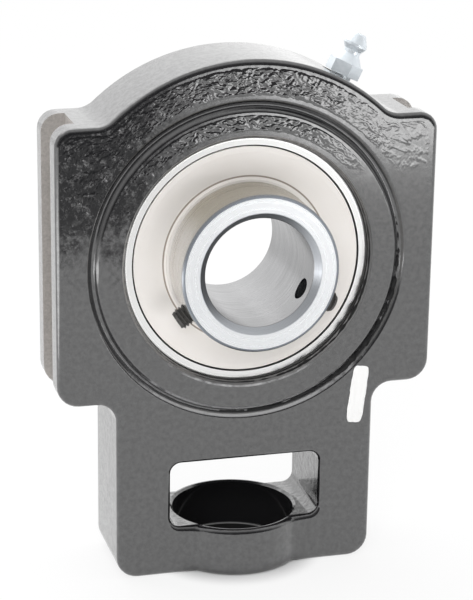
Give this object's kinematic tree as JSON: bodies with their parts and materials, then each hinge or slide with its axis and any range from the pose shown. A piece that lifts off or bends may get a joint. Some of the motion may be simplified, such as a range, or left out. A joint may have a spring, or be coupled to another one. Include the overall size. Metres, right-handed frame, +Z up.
{
  "type": "take-up bearing unit",
  "caption": "Cast take-up housing with side guide grooves and a nut slot, holding a self-aligning insert ball bearing with set screws and a grease nipple.",
  "frame": {"origin": "middle of the insert bearing, on the shaft's axis", "axes": "-Y along the shaft towards the set screw side, +Z up from the adjusting end towards the arch, +X to the right seen from the front"},
  "size_m": [0.106, 0.0449, 0.1493],
  "materials": {
    "enamelled_iron": "black gloss enamel over a cast skin",
    "ring_steel": "turned bright steel",
    "ground_steel": "fine ground satin steel",
    "flinger_sheet": "pressed sheet, warm satin",
    "cage_sheet": "pressed sheet",
    "ball_steel": "polished",
    "seal_rubber": "matt",
    "black_steel": "black oxide",
    "zinc_plate": "bright zinc",
    "spring_wire": "drawn wire"
  },
  "bodies": {
    "housing": {"housing": "enamelled_iron", "grease_nipple": "zinc_plate", "nipple_spring": "spring_wire"},
    "outer_race": {"outer_ring": "ring_steel", "seal_front": "seal_rubber", "seal_rear": "seal_rubber"},
    "inner_race": {"inner_ring": "ground_steel", "flinger_front": "flinger_sheet", "flinger_rear": "flinger_sheet"},
    "cage": {"cage_front": "cage_sheet", "cage_rear": "cage_sheet", "cage_rivets": "cage_sheet"},
    "ball_1": {"ball_1": "ball_steel"},
    "ball_2": {"ball_2": "ball_steel"},
    "ball_3": {"ball_3": "ball_steel"},
    "ball_4": {"ball_4": "ball_steel"},
    "ball_5": {"ball_5": "ball_steel"},
    "ball_6": {"ball_6": "ball_steel"},
    "ball_7": {"ball_7": "ball_steel"},
    "ball_8": {"ball_8": "ball_steel"},
    "ball_9": {"ball_9": "ball_steel"},
    "set_screw_left": {"set_screw_left": "black_steel"},
    "set_screw_right": {"set_screw_right": "black_steel"},
    "check_ball": {"nipple_check_ball": "ball_steel"}
  },
  "joints": [
    {"name": "insert_tilt", "type": "hinge", "parent": "housing", "child": "outer_race", "pos_m": [0, 0, 0], "axis": [1, 0, 0], "range_deg": [-2, 2]},
    {"name": "shaft_spin", "type": "hinge", "parent": "outer_race", "child": "inner_race", "pos_m": [0, 0, 0], "axis": [0, 1, 0], "continuous": true},
    {"name": "cage_spin", "type": "hinge", "parent": "outer_race", "child": "cage", "pos_m": [0, 0, 0], "axis": [0, 1, 0], "continuous": true},
    {"name": "ball_1_spin", "type": "hinge", "parent": "cage", "child": "ball_1", "pos_m": [0, 0, 0.02675], "axis": [0, 1, 0], "continuous": true},
    {"name": "ball_2_spin", "type": "hinge", "parent": "cage", "child": "ball_2", "pos_m": [-0.01719, 0, 0.02049], "axis": [0, 1, 0], "continuous": true},
    {"name": "ball_3_spin", "type": "hinge", "parent": "cage", "child": "ball_3", "pos_m": [-0.02634, 0, 0.00464], "axis": [0, 1, 0], "continuous": true},
    {"name": "ball_4_spin", "type": "hinge", "parent": "cage", "child": "ball_4", "pos_m": [-0.02316, 0, -0.01337], "axis": [0, 1, 0], "continuous": true},
    {"name": "ball_5_spin", "type": "hinge", "parent": "cage", "child": "ball_5", "pos_m": [-0.00915, 0, -0.02513], "axis": [0, 1, 0], "continuous": true},
    {"name": "ball_6_spin", "type": "hinge", "parent": "cage", "child": "ball_6", "pos_m": [0.00915, 0, -0.02513], "axis": [0, 1, 0], "continuous": true},
    {"name": "ball_7_spin", "type": "hinge", "parent": "cage", "child": "ball_7", "pos_m": [0.02316, 0, -0.01337], "axis": [0, 1, 0], "continuous": true},
    {"name": "ball_8_spin", "type": "hinge", "parent": "cage", "child": "ball_8", "pos_m": [0.02634, 0, 0.00464], "axis": [0, 1, 0], "continuous": true},
    {"name": "ball_9_spin", "type": "hinge", "parent": "cage", "child": "ball_9", "pos_m": [0.01719, 0, 0.02049], "axis": [0, 1, 0], "continuous": true},
    {"name": "left_screw_travel", "type": "slide", "parent": "inner_race", "child": "set_screw_left", "axis": [-0.8434, 0, -0.5373], "range_m": [-0.0022, 0.0034]},
    {"name": "right_screw_travel", "type": "slide", "parent": "inner_race", "child": "set_screw_right", "axis": [0.887, 0, -0.4617], "range_m": [-0.0022, 0.0034]},
    {"name": "check_ball_travel", "type": "slide", "parent": "housing", "child": "check_ball", "axis": [-0.4305, 0, -0.9026], "range_m": [0, 0.0008], "stiffness_N_per_m": 100, "springref_m": -0.001, "deforming": ["nipple_spring"]}
  ],
  "couplings": [
    {"joint": "cage_spin", "follows": "shaft_spin", "ratio": 0.39613},
    {"joint": "ball_1_spin", "follows": "shaft_spin", "ratio": -2.3031},
    {"joint": "ball_2_spin", "follows": "shaft_spin", "ratio": -2.3031},
    {"joint": "ball_3_spin", "follows": "shaft_spin", "ratio": -2.3031},
    {"joint": "ball_4_spin", "follows": "shaft_spin", "ratio": -2.3031},
    {"joint": "ball_5_spin", "follows": "shaft_spin", "ratio": -2.3031},
    {"joint": "ball_6_spin", "follows": "shaft_spin", "ratio": -2.3031},
    {"joint": "ball_7_spin", "follows": "shaft_spin", "ratio": -2.3031},
    {"joint": "ball_8_spin", "follows": "shaft_spin", "ratio": -2.3031},
    {"joint": "ball_9_spin", "follows": "shaft_spin", "ratio": -2.3031}
  ]
}
